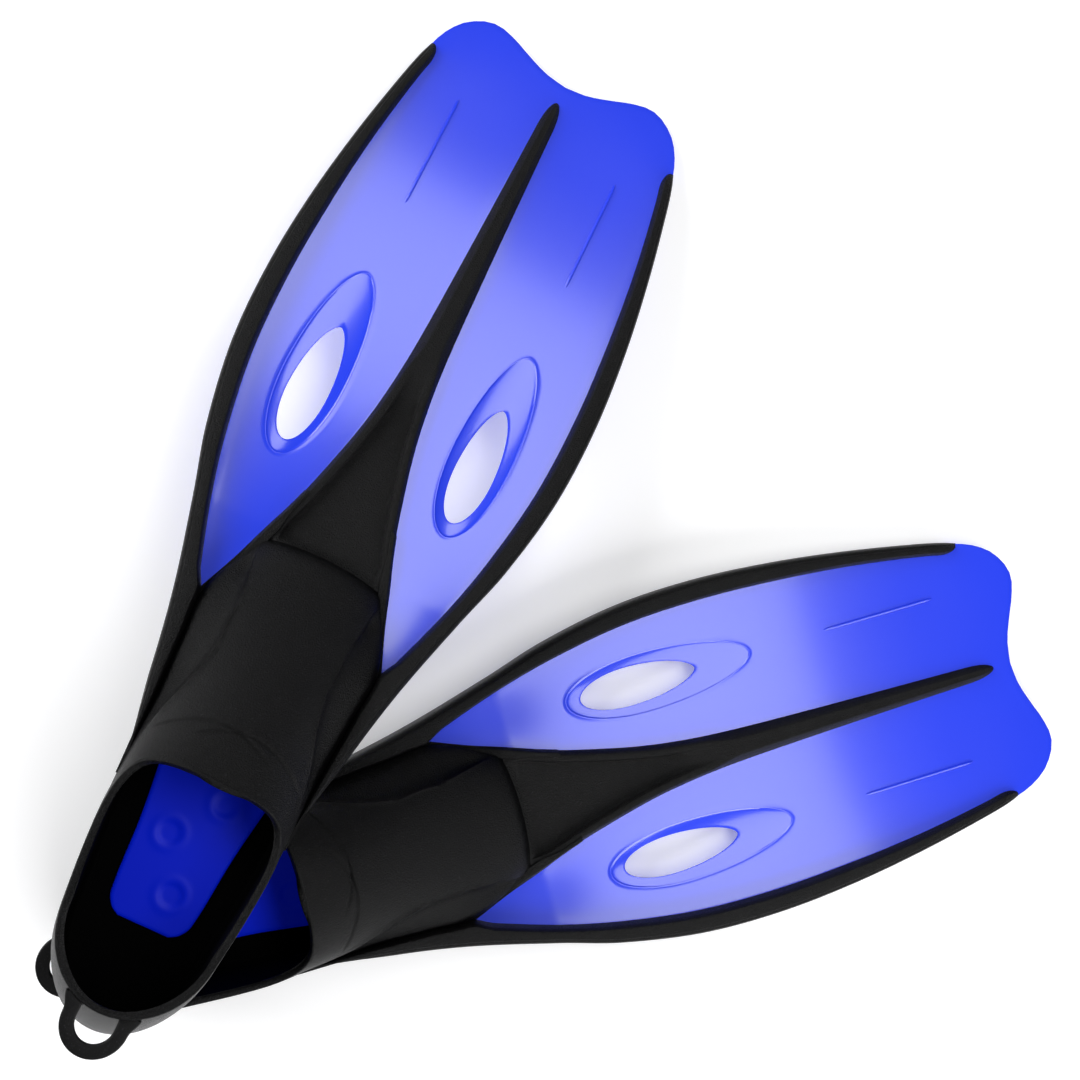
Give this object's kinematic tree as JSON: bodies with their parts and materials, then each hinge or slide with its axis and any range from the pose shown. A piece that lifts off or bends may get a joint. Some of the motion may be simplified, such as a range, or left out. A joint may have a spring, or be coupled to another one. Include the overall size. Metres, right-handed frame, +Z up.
{
  "type": "swim fins",
  "caption": "Pair of full-foot swim fins: rubber foot pockets on ribbed plastic blades with side rails, vents and a lobed tip, one fin laid across the other.",
  "frame": {"origin": "middle of the round pad under the lower fin's heel, on the ground", "axes": "+X from the lower fin's heel to its blade tip, +Y to that fin's left, +Z up out of its foot opening"},
  "size_m": [0.6284, 0.58, 0.1498],
  "materials": {
    "blade_blue": "glossy moulded plastic, a little see-through at thin edges",
    "footbed_blue": "satin moulded plastic",
    "pocket_rubber": "soft matt rubber with fine moulded grain",
    "rail_rubber": "firm satin rubber, grained on its outer faces",
    "sole_rubber": "matt rubber with a moulded tread",
    "loop_rubber": "satin rubber strap"
  },
  "bodies": {
    "lower_foot_pocket": {"lower_outsole": "sole_rubber", "lower_tread": "sole_rubber", "lower_footbed": "footbed_blue", "lower_pocket_upper": "pocket_rubber", "lower_collar": "pocket_rubber", "lower_root_panels": "blade_blue", "lower_strake_left": "rail_rubber", "lower_strake_right": "rail_rubber", "lower_loop_anchors": "loop_rubber"},
    "lower_blade_body": {"lower_blade": "blade_blue", "lower_toe_web": "rail_rubber", "lower_centre_rib": "rail_rubber", "lower_rail_left": "rail_rubber", "lower_rail_right": "rail_rubber"},
    "lower_loop_body": {"lower_pull_loop": "loop_rubber"},
    "upper_foot_pocket": {"upper_outsole": "sole_rubber", "upper_tread": "sole_rubber", "upper_footbed": "footbed_blue", "upper_pocket_upper": "pocket_rubber", "upper_collar": "pocket_rubber", "upper_root_panels": "blade_blue", "upper_strake_left": "rail_rubber", "upper_strake_right": "rail_rubber", "upper_loop_anchors": "loop_rubber"},
    "upper_blade_body": {"upper_blade": "blade_blue", "upper_toe_web": "rail_rubber", "upper_centre_rib": "rail_rubber", "upper_rail_left": "rail_rubber", "upper_rail_right": "rail_rubber"},
    "upper_loop_body": {"upper_pull_loop": "loop_rubber"}
  },
  "joints": [
    {"name": "lower_blade_flex", "type": "hinge", "parent": "lower_foot_pocket", "child": "lower_blade_body", "pos_m": [0.224, 0, 0.01496], "axis": [0, -1, 0], "range_deg": [-15, 20], "stiffness_Nm_per_rad": 45},
    {"name": "upper_blade_flex", "type": "hinge", "parent": "upper_foot_pocket", "child": "upper_blade_body", "pos_m": [0.14905, 0.17916, 0.05563], "axis": [0.7478, -0.6639, 0], "range_deg": [-15, 20], "stiffness_Nm_per_rad": 45},
    {"name": "lower_loop_bend", "type": "hinge", "parent": "lower_foot_pocket", "child": "lower_loop_body", "pos_m": [-0.045, 0, 0.06995], "axis": [0, 1, 0], "range_deg": [-10, 60], "stiffness_Nm_per_rad": 0.1},
    {"name": "upper_loop_bend", "type": "hinge", "parent": "upper_foot_pocket", "child": "upper_loop_body", "pos_m": [-0.02315, -0.01479, 0.14572], "axis": [-0.7478, 0.6639, 0], "range_deg": [-10, 60], "stiffness_Nm_per_rad": 0.1},
    {"name": "upper_fin_lift", "type": "slide", "parent": "lower_foot_pocket", "child": "upper_foot_pocket", "axis": [0, 0, 1], "range_m": [0, 0.12]}
  ]
}
